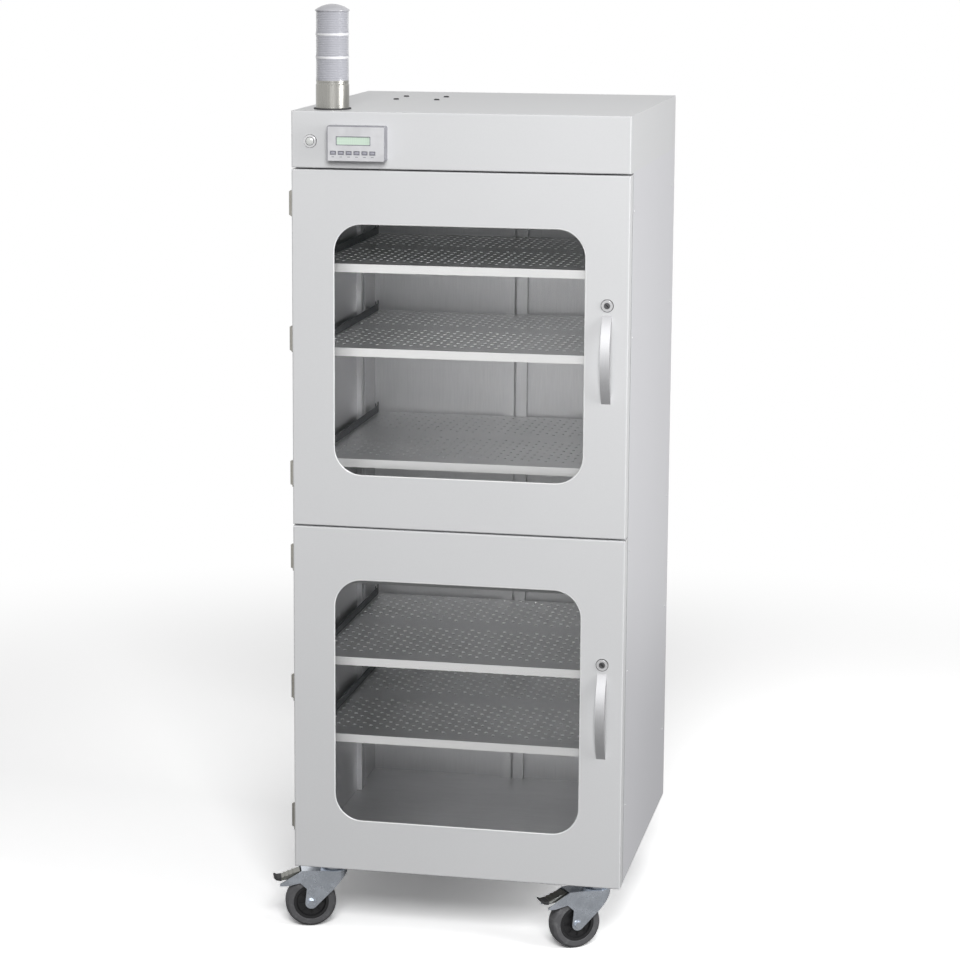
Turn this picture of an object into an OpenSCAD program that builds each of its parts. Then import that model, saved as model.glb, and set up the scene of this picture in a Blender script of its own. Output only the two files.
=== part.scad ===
// Desiccator cabinet: a tall double-skinned steel cabinet with two glazed doors, five perforated
// shelves, a control housing with the drying unit on top, a signal tower and four swivel castors.
// Frame: +Z up, the doors face -Y, the floor is at z = 0 and the overall box is centred on the origin.
// Inside the modules x runs from the left side, y from the doors' front and z from the body's underside.

/* [Body] */
// Width of the cabinet
cab_w = 640; // [620:1:680]
// Depth from the doors' front to the rear panel
cab_d = 636; // [620:1:680]
// Height of the underside above the floor, which is also the height of the castors
under_z = 140; // [136:1:150]
// Thickness of a double-skinned wall
wall = 18; // [16:1:20]
// Sheet thickness of skins and folded parts
skin = 1.5; // [1.2:0.1:2]
// Height of the control housing on top
housing_h = 106; // [104:1:130]
// Radius of the folded front edges
edge_r = 2.5; // [1.5:0.5:4]

/* [Doors] */
// Height of each door
door_h = 679; // [670:1:700]
// Thickness of a door
door_t = 30; // [28:1:32]
// Joint between the doors, and between door and housing
seam = 3; // [2:0.5:5]
// Border beside the window
window_side = 80; // [76:1:90]
// Border above and below the window
window_end = 99; // [90:1:110]
// Corner radius of the window
window_r = 55; // [30:1:60]
// Distance of the handle and lock from the door's free edge
handle_inset = 40; // [38:1:44]

/* [Shelves] */
// Levels of the lower two shelves above the underside
lower_levels = [255, 410]; // [120:1:540]
// Levels of the middle two shelves above the underside
middle_levels = [802, 1017]; // [740:1:1100]
// Level of the top shelf above the underside
top_level = 1178; // [1130:1:1240]
// Height of the turned-down shelf edges
lip_h = 16; // [14:1:20]
// Diameter of the perforation
hole_d = 7; // [5:0.5:9]
// Distance between holes in a row
hole_pitch = 33; // [30:1:36]
// Distance between staggered rows
row_pitch = 16; // [14:1:18]

/* [Castors] */
// Wheel diameter
wheel_d = 100; // [96:1:102]
// Tyre width
wheel_w = 32; // [28:1:33]
// Distance from the swivel axis to the wheel axis
castor_offset = 45; // [42:1:46]
// Swivel axis to the cabinet's side
castor_x = 58; // [56:1:70]
// Swivel axis to the doors' front and to the rear panel
castor_y = 80; // [80:1:90]
// Trailing direction of the front left castor, in degrees from the left
front_left_turn = 18; // [0:1:45]
// Trailing direction of the front right castor, in degrees from the left
front_right_turn = 32; // [0:1:45]
// Trailing direction of the rear castors, in degrees from the left
rear_turn = 25; // [0:1:45]

/* [Signal tower] */
// Outer radius of the lenses
lens_r = 31; // [28:0.5:33]
// Height of one lens
lens_h = 43; // [36:1:46]
// Height of the metal base
tower_base_h = 54; // [50:1:60]

/* [Hidden] */
$fn = 48;
eps = 0.01;

// Cabinet frame
cab_x = -290;                          // left side, so that the overall box is centred
cab_y = -306;                          // doors' front
frame_y = door_t + 7;                  // front plane of the body, behind the gasket
frame_t = 2;                           // thickness of the front frame's sheet
inner_y = frame_y + frame_t;           // where the side walls begin
body_h = 2 * door_h + 2 * seam;        // top of the body, where the housing stands
roof_z = body_h + housing_h;           // top of the housing
chamber_top = body_h - 20;             // underside of the ceiling
chamber_floor_z = 20;                  // top of the floor
rail_low = 564;                        // lower edge of the middle rail
rail_high = 704;                       // upper edge of the middle rail

// Doors and windows
upper_door_z = door_h + seam;
window_w = cab_w - 2 * window_side;
window_h = door_h - 2 * window_end;
glass_lap = 14;                        // glass behind the sheet round the window
recess_lap = 16;                       // recess behind the window round the same edge
glass_t = 4;
gasket_w = 12;
gasket_edge = 5;                       // gasket to the door's edge
gasket_t = 6.7;                        // leaves 0.3 to the front frame
handle_x = cab_w - handle_inset;
lock_rise = 439;                       // lock above the door's bottom
handle_rise = 338;                     // middle of the handle above the door's bottom
handle_len = 166;
handle_w = 17.5;
handle_out = 26;                       // how far the bow stands out
bow_t = 7;                             // thickness of the bow at its middle
barrel_r = 9;
plug_r = 6;
running = 0.06;                        // radial clearance of pins and plugs
cam_len = 26;
cam_y = inner_y + 1;                   // front of the lock cam

// Hinges
hinge_x = -7.5;                        // axis of the hinge pins, outside the left side
hinge_y = door_t + 3.5;
knuckle_r = 6;
knuckle_gap = 6.4;                     // room for the other leaf's knuckles
pin_r = 2.5;
hinge_len = 45;
leaf_t = 2.5;
leaf_w = 28;                           // from the axis to the leaf's edge
hinge_rises = [94, 354, 612];          // hinges on a door, from its bottom
knuckles = 5;
knuckle_h = hinge_len / knuckles;

// Chamber fittings
upright_w = 40;
upright_d = 10;
upright_y = [90, 452];                 // front edges of the front and rear uprights
groove_w = 8;
groove_d = 4;
slot_pitch = 54;
slot_first = 71;                       // lowest slot above the underside
shelf_gap = 0.5;
bracket_t = 1.5;
bracket_rise = 14;                     // bracket's side above the shelf
bracket_foot = 16;                     // flange that the shelf rests on
bracket_x = wall + upright_d + 0.3;    // outer face of a bracket
shelf_x = bracket_x + bracket_t + shelf_gap;
shelf_y = 62;
shelf_d = 543;
shelf_t = 1.2;
shelf_w = cab_w - 2 * shelf_x;
fields = [[117, 14], [403, 13]];       // first row and number of rows of the perforated fields
channel_x = 296;                       // back channel
channel_w = 48;
channel_d = 12;
channel_slot = 5;
all_levels = concat(lower_levels, middle_levels, [top_level]);

// Control housing
roof_hole_d = 7;
roof_holes = [159, 419];               // centre of the roof's hole pattern
roof_hole_pitch = [82, 94];
button_pos = [36.5, 1414];
case_x = 74.5;
case_z = 1380;
case_w = 110;
case_h = 65;
case_out = 25;
case_t = 2;
lcd_x = 93;
lcd_z = 1410;
lcd_w = 64;
lcd_h = 15;
key_first_x = 86.5;
key_pitch = 15;
key_z = 1395;
key_size = [10.4, 6.4];
key_gap = 0.35;
inlet_pos = [545, 1410];               // middle of the power inlet on the rear
inlet_size = [48, 30];
tower_pos = [64, 64];

// Castors
plate_size = [105, 85, 4];
plate_holes = [80, 60];
fork_top = 116;                        // top of the fork's crown above the floor
fork_t = 2.5;
crown_r = 28;
cheek_v = 20.5;                        // outer half width of the cheeks
king_r = 6;
axle_r = 5;
hub_r = 34.5;
wheel_z = wheel_d / 2;

// Colours
paint = [0.82, 0.83, 0.84];
steel = [0.62, 0.64, 0.66];
dark = [0.22, 0.22, 0.24];
black = [0.08, 0.08, 0.09];

// ---------- shared shapes ----------

module at_cabinet() {
  translate([cab_x, cab_y, under_z]) children();
}

// A box whose front edges are folded with a radius; corner at the origin, front face at y = 0
module folded_box(size, r) {
  intersection() {
    linear_extrude(size.z) folded_profile(size.x, size.y, r);
    translate([0, 0, size.z]) rotate([0, 90, 0])
      linear_extrude(size.x) folded_profile(size.z, size.y, r);
  }
}

// Rectangle from the origin whose two corners on the x axis are round
module folded_profile(w, d, r) {
  translate([0, r]) square([w, d - r]);
  translate([r, 0]) square([w - 2 * r, r + eps]);
  for (x = [r, w - r]) translate([x, r]) circle(r);
}

module rounded_rect(w, h, r) {
  translate([r, 0]) square([w - 2 * r, h]);
  translate([0, r]) square([w, h - 2 * r]);
  for (x = [r, w - r], y = [r, h - r]) translate([x, y]) circle(r);
}

// Extrudes an x-z outline towards +y by depth
module face_extrude(depth) {
  translate([0, depth, 0]) rotate([90, 0, 0]) linear_extrude(depth) children();
}

// Cylinder along +y from the given point
module y_rod(p, r, len) {
  translate(p) rotate([-90, 0, 0]) cylinder(r = r, h = len);
}

// Hollow folded wall, open on its +z end, or on its +y end
module hollow_wall(size, open_y = false) {
  difference() {
    cube(size);
    translate([skin, skin, skin])
      cube([size.x - 2 * skin, size.y - (open_y ? 0 : 2 * skin), size.z - (open_y ? 2 * skin : 0)]);
  }
}

// ---------- body ----------

module side_panel_left() {
  color(paint) at_cabinet()
    translate([0, inner_y, 0]) hollow_wall([wall, cab_d - inner_y, body_h]);
}

// The right wall has strike pockets that the lock cams turn into
module side_panel_right() {
  color(paint) at_cabinet() difference() {
    translate([cab_w - wall, inner_y, 0]) hollow_wall([wall, cab_d - inner_y, body_h]);
    for (z = [0, upper_door_z])
      translate([cab_w - wall - 1, inner_y - 1, z + lock_rise - 18]) cube([12, 9, 28]);
  }
}

module back_panel() {
  color(paint) at_cabinet()
    translate([wall, cab_d - wall, 0]) hollow_wall([cab_w - 2 * wall, wall, body_h]);
}

module chamber_floor() {
  color(steel) at_cabinet() translate([wall, inner_y, 0])
    hollow_wall([cab_w - 2 * wall, cab_d - wall - inner_y, chamber_floor_z], open_y = true);
}

// Ceiling with the two ports that join the chamber to the drying unit
module chamber_ceiling() {
  port = [90, 50];
  color(paint) at_cabinet() difference() {
    translate([wall, inner_y, chamber_top])
      hollow_wall([cab_w - 2 * wall, cab_d - wall - inner_y, body_h - chamber_top], open_y = true);
    for (x = [270, 430]) translate([x, 470, chamber_top - 1]) cube([port.x, port.y, 30]);
  }
}

// Flat frame that both gaskets close on, with a channel-shaped middle rail
module front_frame() {
  rail_d = 20;
  opening_w = cab_w - 2 * wall;
  color(paint) at_cabinet() {
    translate([0, frame_y, 0]) face_extrude(frame_t) difference() {
      square([cab_w, body_h]);
      translate([wall, chamber_floor_z])
        square([opening_w, rail_low - chamber_floor_z]);
      translate([wall, rail_high]) square([opening_w, chamber_top - rail_high]);
    }
    for (z = [rail_low, rail_high - skin])
      translate([wall, inner_y, z]) cube([opening_w, rail_d, skin]);
  }
}

module control_housing() {
  front_shelf = 45;                    // closed strip over the doors
  vent_w = 5;
  color(paint) at_cabinet() difference() {
    translate([0, 0, body_h]) folded_box([cab_w, cab_d, housing_h], edge_r);
    translate([skin, front_shelf, body_h - 1])
      cube([cab_w - 2 * skin, cab_d - front_shelf - skin, housing_h + 1 - skin]);
    translate([skin, skin, body_h + skin])
      cube([cab_w - 2 * skin, front_shelf, housing_h - 2 * skin]);
    for (sx = [-1, 1], sy = [-1, 1])
      translate([roof_holes.x + sx * roof_hole_pitch.x / 2,
                 roof_holes.y + sy * roof_hole_pitch.y / 2, roof_z - 5])
        cylinder(d = roof_hole_d, h = 10);
    translate([tower_pos.x, tower_pos.y, roof_z - 5]) cylinder(r = 8, h = 10);
    y_rod([button_pos.x, -1, button_pos.y], 8.2, 10);
    y_rod([case_x + case_w / 2, -1, case_z + case_h / 2], 12, 10);
    translate([inlet_pos.x - 15, cab_d - 5, inlet_pos.y - 11]) cube([30, 10, 22]);
    for (i = [0 : 9])
      translate([320 + i * 2.4 * vent_w, cab_d - 5, body_h + 28]) cube([vent_w, 10, 50]);
  }
}

// ---------- chamber ----------

// Section of an upright: a shallow channel against the wall, grooved along its face
module upright_section() {
  groove_at = (upright_w - groove_w) / 2;
  difference() {
    square([upright_d, upright_w]);
    translate([-1, skin]) square([1 + upright_d - groove_d - 2 * skin, upright_w - 2 * skin]);
    for (y = [skin, groove_at + groove_w + skin])
      translate([0, y]) square([upright_d - skin, groove_at - 2 * skin]);
    translate([upright_d - groove_d, groove_at]) square([groove_d + 1, groove_w]);
  }
}

module upright() {
  slots = floor((chamber_top - slot_first - 20) / slot_pitch);
  difference() {
    translate([0, 0, chamber_floor_z]) linear_extrude(chamber_top - chamber_floor_z)
      upright_section();
    for (i = [0 : slots])
      translate([-1, upright_w / 2 - 1.75, slot_first + i * slot_pitch]) cube([upright_d, 3.5, 10]);
  }
}

module corner_uprights() {
  color(steel) at_cabinet() for (y = upright_y) {
    translate([wall, y, 0]) upright();
    translate([cab_w - wall, y, 0]) mirror([1, 0, 0]) upright();
  }
}

// Angle rail with a foot for the shelf, clamp blocks in both uprights' grooves and two end horns
module bracket() {
  first = 60;
  rail_len = 540;
  horn = 7;
  translate([bracket_x, first, -lip_h - bracket_t])
    cube([bracket_t, rail_len, lip_h + bracket_t + bracket_rise]);
  translate([bracket_x, first, -lip_h - bracket_t]) cube([bracket_foot, rail_len, bracket_t]);
  for (y = [first + rail_len - 2 * bracket_t, first + rail_len - 24])
    translate([bracket_x, y, bracket_rise - eps]) cube([bracket_t, 2 * bracket_t, horn]);
  for (y = upright_y)
    translate([bracket_x - groove_d - 0.3 + eps, y + upright_w / 2 - 3.5, -lip_h])
      cube([groove_d + 0.3, 7, 24]);
}

module shelf_brackets() {
  color(dark) at_cabinet() for (z = all_levels) {
    translate([0, 0, z]) bracket();
    translate([cab_w, 0, z]) mirror([1, 0, 0]) bracket();
  }
}

// C-shaped rail on the rear wall with a slot along its middle
module back_channel() {
  lip = (channel_w - channel_slot) / 2;
  color(steel) at_cabinet() translate([channel_x, cab_d - wall - channel_d, chamber_floor_z])
    linear_extrude(chamber_top - chamber_floor_z) difference() {
      square([channel_w, channel_d]);
      translate([skin, skin]) square([channel_w - 2 * skin, channel_d - 2 * skin]);
      translate([lip, -1]) square([channel_slot, channel_d / 2]);
    }
}

// Two perforated fields of staggered rows with a plain band between them
module perforation() {
  columns = floor((shelf_w - 10) / hole_pitch);
  for (field = fields, row = [0 : field[1] - 1]) {
    odd = row % 2;
    for (i = [0 : columns - odd])
      translate([cab_w / 2 + (i - (columns - odd) / 2) * hole_pitch, field[0] + row * row_pitch])
        circle(d = hole_d);
  }
}

module shelf() {
  difference() {
    translate([shelf_x, shelf_y, -lip_h]) cube([shelf_w, shelf_d, lip_h - shelf_t + eps]);
    translate([shelf_x + shelf_t, shelf_y + shelf_t, -lip_h - 1])
      cube([shelf_w - 2 * shelf_t, shelf_d - 2 * shelf_t, lip_h + 2]);
  }
  translate([0, 0, -shelf_t]) linear_extrude(shelf_t) difference() {
    translate([shelf_x, shelf_y]) square([shelf_w, shelf_d]);
    perforation();
  }
}

module shelves(levels) {
  color(steel) at_cabinet() for (z = levels) translate([0, 0, z]) shelf();
}

// Probe head on the rear wall, high in the chamber
module humidity_sensor() {
  color("white") at_cabinet() translate([520, cab_d - wall - 22, 1262]) {
    cube([36, 22, 52]);
    translate([18, 11, -38]) cylinder(r = 6, h = 38 + eps);
  }
}

// ---------- control housing ----------

// Desiccant dryer on the ceiling, with a lid and the two spigots in the ceiling's ports
module drying_unit() {
  size = [300, 250, 76];
  at = [245, 340, body_h];
  color("silver") at_cabinet() {
    translate(at) difference() {
      cube(size);
      translate([2, 2, 2]) cube([size.x - 4, size.y - 4, size.z]);
    }
    translate([at.x - 6, at.y - 6, at.z + size.z - eps]) cube([size.x + 12, size.y + 12, 4]);
    for (x = [270, 430]) translate([x + 2, 472, body_h - 18]) cube([86, 46, 18 + eps]);
  }
}

module controller_outline() {
  rounded_rect(case_w, case_h, 3);
}

module key_outline(i, gap) {
  translate([key_first_x + i * key_pitch - key_size.x / 2 - gap, key_z - key_size.y / 2 - gap])
    rounded_rect(key_size.x + 2 * gap, key_size.y + 2 * gap, 2 + gap);
}

module controller_case() {
  color(paint) at_cabinet() difference() {
    translate([case_x, -case_out, case_z]) face_extrude(case_out) controller_outline();
    translate([case_x + case_t, -case_out + case_t, case_z + case_t])
      cube([case_w - 2 * case_t, case_out, case_h - 2 * case_t]);
    translate([lcd_x, -case_out - 1, lcd_z]) cube([lcd_w, 5, lcd_h]);
    translate([0, -case_out - 1, 0]) face_extrude(5) for (i = [0 : 5]) key_outline(i, key_gap);
  }
}

// Liquid crystal module behind the case's window
module display() {
  color([0.8, 0.9, 0.8]) at_cabinet() {
    translate([lcd_x - 3, -case_out + case_t, lcd_z - 3]) cube([lcd_w + 6, 6, lcd_h + 6]);
    translate([lcd_x + 0.3, -case_out + case_t - 0.6, lcd_z + 0.3]) cube([lcd_w - 0.6, 1, lcd_h - 0.6]);
  }
}

module key(i) {
  stem = 5;
  color([0.5, 0.5, 0.54]) at_cabinet() {
    translate([0, -case_out - 1.2, 0]) face_extrude(3.6) key_outline(i, 0);
    y_rod([key_first_x + i * key_pitch, -case_out + 2, key_z], 2, stem);
  }
}

module power_button_bezel() {
  color(steel) at_cabinet() difference() {
    union() {
      y_rod([button_pos.x, -2.5, button_pos.y], 12, 2.5);
      y_rod([button_pos.x, -3.5, button_pos.y], 10.5, 2);
      y_rod([button_pos.x, -eps, button_pos.y], 8, 22);
    }
    y_rod([button_pos.x, -4.5, button_pos.y], 7, 18);
  }
}

module power_button() {
  cap_r = 7 - running;
  color("white") at_cabinet() {
    y_rod([button_pos.x, -4, button_pos.y], cap_r, 12);
    intersection() {
      y_rod([button_pos.x, -6, button_pos.y], cap_r, 3);
      translate([button_pos.x, 10, button_pos.y]) sphere(r = 15.6, $fn = 96);
    }
  }
}

module power_inlet() {
  pin = [2, 12, 5];
  color(black) at_cabinet() {
    difference() {
      union() {
        translate([inlet_pos.x - inlet_size.x / 2, cab_d, inlet_pos.y - inlet_size.y / 2])
          cube([inlet_size.x, 2, inlet_size.y]);
        translate([inlet_pos.x - 14.5, cab_d - 24, inlet_pos.y - 10.5]) cube([29, 24 + eps, 21]);
      }
      translate([inlet_pos.x - 12.5, cab_d - 16, inlet_pos.y - 8.5]) cube([25, 20, 17]);
    }
    for (x = [-7, 0, 7])
      translate([inlet_pos.x + x - pin.x / 2, cab_d - 16 - eps, inlet_pos.y - (x == 0 ? -0.5 : 5.5)])
        cube(pin);
  }
}

// ---------- signal tower ----------

module at_tower(z) {
  at_cabinet() translate([tower_pos.x, tower_pos.y, roof_z + z]) children();
}

// Turned base on a rubber disc, with a collar for the first lens
module tower_base() {
  color(steel) at_tower(0) rotate_extrude($fn = 96) polygon([
    [0, 0], [35, 0], [35, 1.6], [31.5, 2.2], [31.5, 46], [30.5, 47.5],
    [30.5, 51], [31, 51.5], [31, tower_base_h], [0, tower_base_h]
  ]);
}

// One clear lens: a tube with fine rings outside and a plain rim at its foot
module lens() {
  rings = 12;
  rim = 4;
  ring_h = (lens_h - rim) / rings;
  rotate_extrude($fn = 96) union() {
    translate([lens_r - 3, 0]) square([2.4, lens_h]);
    translate([lens_r - 1, 0]) square([1, rim]);
    for (i = [0 : rings - 1])
      translate([lens_r - 1, rim + i * ring_h])
        polygon([[0, 0], [0.4, 0], [1, ring_h / 2], [0.4, ring_h], [0, ring_h]]);
  }
}

module tower_lenses() {
  color([0.9, 0.9, 0.95, 0.6]) for (i = [0 : 2]) at_tower(tower_base_h + i * lens_h) lens();
}

// Lamp column with a reflector disc at the foot of each lens
module tower_core() {
  color("whitesmoke") {
    at_tower(tower_base_h) cylinder(r = 9, h = 3 * lens_h);
    for (i = [0 : 2]) at_tower(tower_base_h + i * lens_h + eps) {
      cylinder(r = 26, h = 2.5);
      for (a = [0 : 45 : 315]) rotate(a) translate([8, -3, 8]) cube([3, 6, lens_h - 14]);
    }
  }
}

module tower_cap() {
  dome = 11;
  rim_r = 32.5;
  ball = (rim_r * rim_r + dome * dome) / (2 * dome);
  color([0.7, 0.7, 0.72]) at_tower(tower_base_h + 3 * lens_h) {
    cylinder(r = rim_r, h = 2, $fn = 96);
    intersection() {
      translate([0, 0, 2 + dome - ball]) sphere(r = ball, $fn = 96);
      translate([0, 0, 1]) cylinder(r = rim_r, h = 20, $fn = 96);
    }
  }
}

// ---------- hinges ----------

module hinge_pin() {
  translate([hinge_x, hinge_y, -1.5]) {
    cylinder(r = pin_r, h = hinge_len + 3);
    cylinder(r = pin_r + 1.3, h = 1.5 + eps);
    translate([0, 0, hinge_len + 1.5 - eps]) cylinder(r = pin_r + 1.3, h = 1.5);
  }
}

// Frame side of a hinge: leaf on the body's side, three knuckles and the pin pressed into them
module frame_leaf() {
  hinge_pin();
  difference() {
    union() {
      translate([-leaf_t, hinge_y, 0]) cube([leaf_t, leaf_w, hinge_len]);
      translate([hinge_x, hinge_y, 0]) cylinder(r = knuckle_r, h = hinge_len);
      translate([hinge_x, hinge_y, 0]) cube([-hinge_x, knuckle_r, hinge_len]);
    }
    for (k = [1, 3]) translate([hinge_x, hinge_y, k * knuckle_h - 0.15])
      cylinder(r = knuckle_gap + 2.4, h = knuckle_h + 0.3);
    translate([-eps, 0, -1]) cube([5, frame_y + 20, hinge_len + 2]);
  }
}

module door_leaf() {
  difference() {
    union() {
      translate([-leaf_t, hinge_y - leaf_w, 0]) cube([leaf_t, leaf_w - 6, hinge_len]);
      for (k = [1, 3]) translate([0, 0, k * knuckle_h + 0.15]) {
        translate([hinge_x, hinge_y, 0]) cylinder(r = knuckle_r, h = knuckle_h - 0.3);
        translate([hinge_x, hinge_y - knuckle_r - 3, 0])
          cube([-hinge_x, knuckle_r + 3 - 3, knuckle_h - 0.3]);
      }
    }
    translate([hinge_x, hinge_y, -1]) cylinder(r = pin_r + running, h = hinge_len + 2);
  }
}

module at_hinges(z) {
  at_cabinet() for (rise = hinge_rises) translate([0, 0, z + rise - hinge_len / 2]) children();
}

module frame_hinge_leaves() {
  color(steel) for (z = [0, upper_door_z]) at_hinges(z) frame_leaf();
}

// ---------- doors ----------

module at_door(z) {
  at_cabinet() translate([0, 0, z]) children();
}

// Double-skinned door with a window in its front sheet and a wider recess behind it
module door_panel(z) {
  inner = recess_lap - skin;
  ring = window_side - recess_lap;
  end = window_end - recess_lap;
  color(paint) at_door(z) difference() {
    folded_box([cab_w, door_t, door_h], edge_r);
    translate([window_side, -1, window_end]) face_extrude(door_t + 2)
      rounded_rect(window_w, window_h, window_r);
    translate([ring, skin, end]) cube([cab_w - 2 * ring, door_t, door_h - 2 * end]);
    difference() {
      translate([skin, skin, skin])
        cube([cab_w - 2 * skin, door_t - 2 * skin, door_h - 2 * skin]);
      translate([window_side - inner - 2 * skin, 0, window_end - inner - 2 * skin])
        cube([window_w + 2 * inner + 4 * skin, door_t, window_h + 2 * inner + 4 * skin]);
    }
    y_rod([handle_x, -1, lock_rise], barrel_r + 0.2, door_t + 2);
  }
}

module door_glass(z) {
  color([0.8, 0.85, 0.88, 0.3]) at_door(z)
    translate([window_side - glass_lap, skin, window_end - glass_lap])
      cube([window_w + 2 * glass_lap, glass_t, window_h + 2 * glass_lap]);
}

module door_gasket(z) {
  color(black) at_door(z) translate([0, door_t, 0]) face_extrude(gasket_t) difference() {
    translate([gasket_edge, gasket_edge])
      square([cab_w - 2 * gasket_edge, door_h - 2 * gasket_edge]);
    translate([gasket_edge + gasket_w, gasket_edge + gasket_w])
      square([cab_w - 2 * gasket_edge - 2 * gasket_w, door_h - 2 * gasket_edge - 2 * gasket_w]);
  }
}

// Bow handle: the strip between two arcs, flat on the door at both feet
module door_handle(z) {
  foot = 12;
  outer_r = (pow(handle_len / 2, 2) + pow(handle_out, 2)) / (2 * handle_out);
  gap_out = handle_out - bow_t;
  inner_half = handle_len / 2 - foot;
  inner_r = (pow(inner_half, 2) + pow(gap_out, 2)) / (2 * gap_out);
  color([0.8, 0.8, 0.82]) at_door(z)
    translate([handle_x - handle_w / 2, 0, handle_rise]) rotate([0, 90, 0])
      linear_extrude(handle_w) difference() {
        intersection() {
          translate([0, outer_r - handle_out]) circle(outer_r, $fn = 128);
          translate([-handle_len / 2, -handle_out - 1]) square([handle_len, handle_out + 1]);
        }
        translate([0, inner_r - gap_out]) circle(inner_r, $fn = 128);
      }
}

module door_hinge_leaves(z) {
  color(steel) at_hinges(z) door_leaf();
}

module lock_barrel(z) {
  color(steel) at_door(z) difference() {
    union() {
      y_rod([handle_x, -1.5, lock_rise], 11, 1.5);
      y_rod([handle_x, -2.8, lock_rise], 9.5, 2);
      y_rod([handle_x, -1, lock_rise], barrel_r, door_t + 5);
      translate([handle_x, door_t, lock_rise]) rotate([-90, 0, 0]) cylinder(r = 13, h = 3, $fn = 6);
    }
    y_rod([handle_x, -5, lock_rise], plug_r + running, door_t + 20);
  }
}

// Key plug with its slot and the cam, which hangs down when unlocked
module lock_plug(z) {
  cam_w = 12;
  cam_t = 3;
  color(steel) at_door(z) difference() {
    union() {
      y_rod([handle_x, -2.2, lock_rise], plug_r, cam_y + 2.2 + eps);
      y_rod([handle_x, cam_y, lock_rise], cam_w / 2, cam_t);
      translate([handle_x - cam_w / 2, cam_y, lock_rise - cam_len]) cube([cam_w, cam_t, cam_len]);
      y_rod([handle_x, cam_y, lock_rise], 4, cam_t + 2.5);
    }
    translate([handle_x, -3, lock_rise]) rotate([0, -45, 0]) translate([-0.8, 0, -4])
      cube([1.6, 8, 8]);
  }
}

// ---------- castors ----------

// Moves from castor coordinates (u towards the wheel, v sideways, z above the floor)
module at_castor(p, turn) {
  translate([cab_x + p.x, cab_y + p.y, 0]) rotate(180 + turn) children();
}

front_left = [castor_x, castor_y];
front_right = [cab_w - castor_x, castor_y];
rear_left = [castor_x, cab_d - castor_y];
rear_right = [cab_w - castor_x, cab_d - castor_y];

// Four top plates with their races and king pins
module castor_plates() {
  color("silver") for (p = [front_left, front_right, rear_left, rear_right])
    translate([cab_x + p.x, cab_y + p.y, 0]) {
      difference() {
        translate([0, 0, under_z - plate_size.z]) linear_extrude(plate_size.z)
          translate([-plate_size.x / 2, -plate_size.y / 2])
            rounded_rect(plate_size.x, plate_size.y, 8);
        for (sx = [-1, 1], sy = [-1, 1])
          translate([sx * plate_holes.x / 2, sy * plate_holes.y / 2, under_z - 10])
            cylinder(d = 9, h = 20);
      }
      translate([0, 0, fork_top + 8.4])
        cylinder(r1 = 29, r2 = 33, h = under_z - plate_size.z - fork_top - 8.4 + eps);
      translate([0, 0, fork_top - 6]) cylinder(r = king_r, h = under_z - fork_top);
      translate([0, 0, fork_top - 9.7]) cylinder(r = 10, h = 6, $fn = 6);
    }
}

// Plan of the fork, inset all round
module fork_plan(inset, tip) {
  circle(crown_r - inset);
  polygon([
    [0, crown_r - inset], [38, cheek_v - inset], [tip + 1, cheek_v - inset],
    [tip + 1, inset - cheek_v], [38, inset - cheek_v], [0, inset - crown_r]
  ]);
}

// Side view of the fork: crown, raked leading edge, leg with a round end, and the brake arm
module fork_side(tip, brake) {
  leg = 12;
  polygon([
    [-crown_r, fork_top], [-crown_r, fork_top - 5], [castor_offset - 9, wheel_z - 8],
    [castor_offset + 8, wheel_z - 8], [castor_offset + leg, wheel_z],
    [castor_offset + 9, wheel_z + 29], [castor_offset + 22, wheel_z + 41],
    [brake ? 92 : tip, wheel_z + (brake ? 35.5 : 41)], [tip, wheel_z + (brake ? 35.5 : 41)],
    [tip, brake ? 90 : fork_top - 8], [brake ? 66 : tip - 6, brake ? 114 : fork_top], [60, fork_top]
  ]);
  translate([castor_offset, wheel_z]) circle(leg);
}

module fork(p, turn, brake) {
  tip = brake ? 107 : 72;
  crown_end = brake ? 64 : 58;
  color("silver") at_castor(p, turn) difference() {
    union() {
      intersection() {
        linear_extrude(fork_top) difference() {
          fork_plan(0, tip);
          fork_plan(fork_t, tip + 2);
        }
        rotate([90, 0, 0]) translate([0, 0, -40]) linear_extrude(80) fork_side(tip, brake);
      }
      intersection() {
        translate([0, 0, fork_top - 3]) linear_extrude(3) fork_plan(eps, tip);
        translate([-40, -40, 0]) cube([40 + crown_end, 80, 200]);
      }
      translate([0, 0, fork_top - eps]) cylinder(r1 = 24, r2 = 26, h = 8);
      axle();
    }
    translate([0, 0, fork_top - 5]) cylinder(r = king_r + running, h = 20);
  }
}

// Axle bolt of a castor with its head and nut outside the cheeks
module axle() {
  translate([castor_offset, -cheek_v - 1, wheel_z]) rotate([-90, 0, 0])
    cylinder(r = axle_r, h = 2 * cheek_v + 2);
  for (v = [-cheek_v - 5.5, cheek_v - 0.5])
    translate([castor_offset, v, wheel_z]) rotate([-90, 0, 0]) cylinder(r = 7.5, h = 6, $fn = 6);
  for (v = [-cheek_v - 1.5, cheek_v])
    translate([castor_offset, v, wheel_z]) rotate([-90, 0, 0]) cylinder(r = 9, h = 1.5);
}

module at_wheel(p, turn) {
  at_castor(p, turn) translate([castor_offset, 0, wheel_z]) rotate([90, 0, 0]) children();
}

// Black hub: rim, dished web with eight pockets each side and a bored boss
module hub(p, turn) {
  half = wheel_w / 2;
  color(black) at_wheel(p, turn) difference() {
    rotate_extrude() polygon([
      [axle_r + running, -half - 1.5], [11, -half - 1.5], [13, -half + 5], [27, -half + 5],
      [29, -half + 1], [hub_r, -half + 1], [hub_r, half - 1], [29, half - 1], [27, half - 5],
      [13, half - 5], [11, half + 1.5], [axle_r + running, half + 1.5]
    ]);
    for (side = [-1, 1], a = [0 : 45 : 315]) rotate(a)
      translate([20, 0, side * (half - 3)]) cube([10, 6, 8], center = true);
  }
}

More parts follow.
